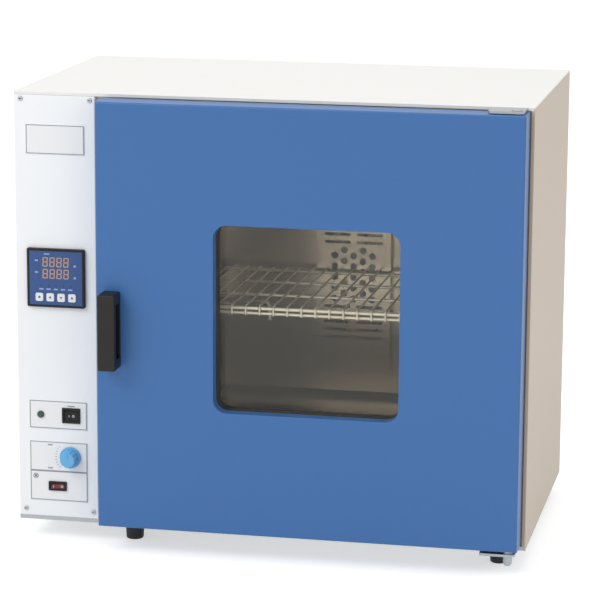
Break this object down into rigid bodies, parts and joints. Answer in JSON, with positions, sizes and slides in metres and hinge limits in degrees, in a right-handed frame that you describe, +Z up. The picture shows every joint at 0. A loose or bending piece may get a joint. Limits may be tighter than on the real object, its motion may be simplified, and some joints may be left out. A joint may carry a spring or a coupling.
{
  "type": "drying oven",
  "caption": "Bench-top forced-air drying oven: white case, blue swinging door with a window, side control panel, wire shelf in a steel chamber, and a fan at the rear.",
  "frame": {"origin": "on the bench plane under the feet, in the middle of the object's bounding box in X and Y", "axes": "+Z up, the door and the control panel face -Y, +X is the viewer's right, where the hinges are"},
  "size_m": [0.625, 0.484, 0.5545],
  "materials": {
    "panel_white": "satin, lightly textured off-white paint",
    "case_white": "satin, lightly textured warm white paint",
    "frame_beige": "satin beige paint",
    "door_blue": "satin blue paint",
    "galvanised": "plain zinc-coated sheet",
    "stainless": "polished stainless sheet",
    "bright_wire": "bright plated wire",
    "screw_steel": "zinc-plated steel",
    "hinge_steel": "ground steel",
    "element_steel": "dark sheathed element",
    "mineral_wool": "soft mineral fibre",
    "rubber_black": "black moulded rubber",
    "silicone": "grey silicone",
    "glass": "clear toughened glass",
    "fan_aluminium": "pressed aluminium",
    "motor_paint": "dark paint",
    "plastic_black": "fine matt black",
    "plastic_white": "smooth white",
    "face_blue": "blue film",
    "lens_smoke": "smoked lens",
    "plate_white": "white film plate",
    "rocker_red": "red",
    "lamp_green": "dark green lens",
    "knob_blue": "sky blue",
    "gland_grey": "grey nylon",
    "magnet_dark": "sintered magnet"
  },
  "bodies": {
    "case": {"base_pan": "galvanised", "feet": "rubber_black", "foot_screws": "screw_steel", "top_panel": "case_white", "left_side_panel": "case_white", "right_side_panel": "case_white", "back_panel": "galvanised", "front_frame": "frame_beige", "partition_panel": "galvanised", "chamber_liner": "stainless", "insulation": "mineral_wool", "duct_plate": "stainless", "shelf_runners": "stainless", "wire_shelf": "bright_wire", "heater_element": "element_steel", "fan_motor": "motor_paint", "motor_cover": "galvanised", "cover_screws": "screw_steel", "temperature_probe": "stainless", "control_panel": "panel_white", "panel_rails": "galvanised", "panel_screws": "screw_steel", "controller_housing": "plastic_black", "controller_face": "face_blue", "display_lens": "lens_smoke", "status_lamps": "lamp_green", "blank_plate": "plate_white", "power_plate": "plate_white", "damper_plate": "plate_white", "fan_plate": "plate_white", "power_switch_housing": "plastic_black", "fan_switch_housing": "plastic_black", "pilot_lamp": "lamp_green", "solid_state_relay": "plastic_black", "cable_gland": "gland_grey", "hinge_brackets": "hinge_steel", "hinge_screws": "screw_steel", "hinge_pins": "hinge_steel", "door_seal": "silicone", "magnet_catch": "magnet_dark"},
    "door": {"door_skin": "door_blue", "door_inner_plate": "stainless", "door_insulation": "mineral_wool", "window_gasket": "silicone", "window_panes": "glass", "door_handle": "plastic_black", "handle_screws": "screw_steel", "hinge_blocks": "hinge_steel", "keeper_plate": "stainless"},
    "set_key": {"key_set": "plastic_white"},
    "shift_key": {"key_shift": "plastic_white"},
    "down_key": {"key_down": "plastic_white"},
    "up_key": {"key_up": "plastic_white"},
    "power_switch": {"power_rocker": "plastic_black"},
    "fan_switch": {"fan_rocker": "rocker_red"},
    "damper": {"damper_knob": "knob_blue", "damper_rod": "screw_steel", "air_shutter": "galvanised"},
    "fan": {"fan_wheel": "fan_aluminium", "motor_shaft": "hinge_steel"}
  },
  "joints": [
    {"name": "door_swing", "type": "hinge", "parent": "case", "child": "door", "pos_m": [0.295, -0.198, 0.29125], "axis": [0, 0, 1], "range_deg": [0, 120]},
    {"name": "set_press", "type": "slide", "parent": "case", "child": "set_key", "axis": [0, 1, 0], "range_m": [0, 0.0008], "stiffness_N_per_m": 400},
    {"name": "shift_press", "type": "slide", "parent": "case", "child": "shift_key", "axis": [0, 1, 0], "range_m": [0, 0.0008], "stiffness_N_per_m": 400},
    {"name": "down_press", "type": "slide", "parent": "case", "child": "down_key", "axis": [0, 1, 0], "range_m": [0, 0.0008], "stiffness_N_per_m": 400},
    {"name": "up_press", "type": "slide", "parent": "case", "child": "up_key", "axis": [0, 1, 0], "range_m": [0, 0.0008], "stiffness_N_per_m": 400},
    {"name": "power_rock", "type": "hinge", "parent": "case", "child": "power_switch", "pos_m": [-0.245, -0.1735, 0.158], "axis": [0, 0, -1], "range_deg": [0, 20]},
    {"name": "fan_rock", "type": "hinge", "parent": "case", "child": "fan_switch", "pos_m": [-0.263, -0.1735, 0.0685], "axis": [0, 0, -1], "range_deg": [0, 20]},
    {"name": "damper_turn", "type": "hinge", "parent": "case", "child": "damper", "pos_m": [-0.2465, 0, 0.1055], "axis": [0, 1, 0], "range_deg": [0, 90]},
    {"name": "fan_spin", "type": "hinge", "parent": "case", "child": "fan", "pos_m": [0.05325, 0.1, 0.29525], "axis": [0, 1, 0], "continuous": true}
  ]
}
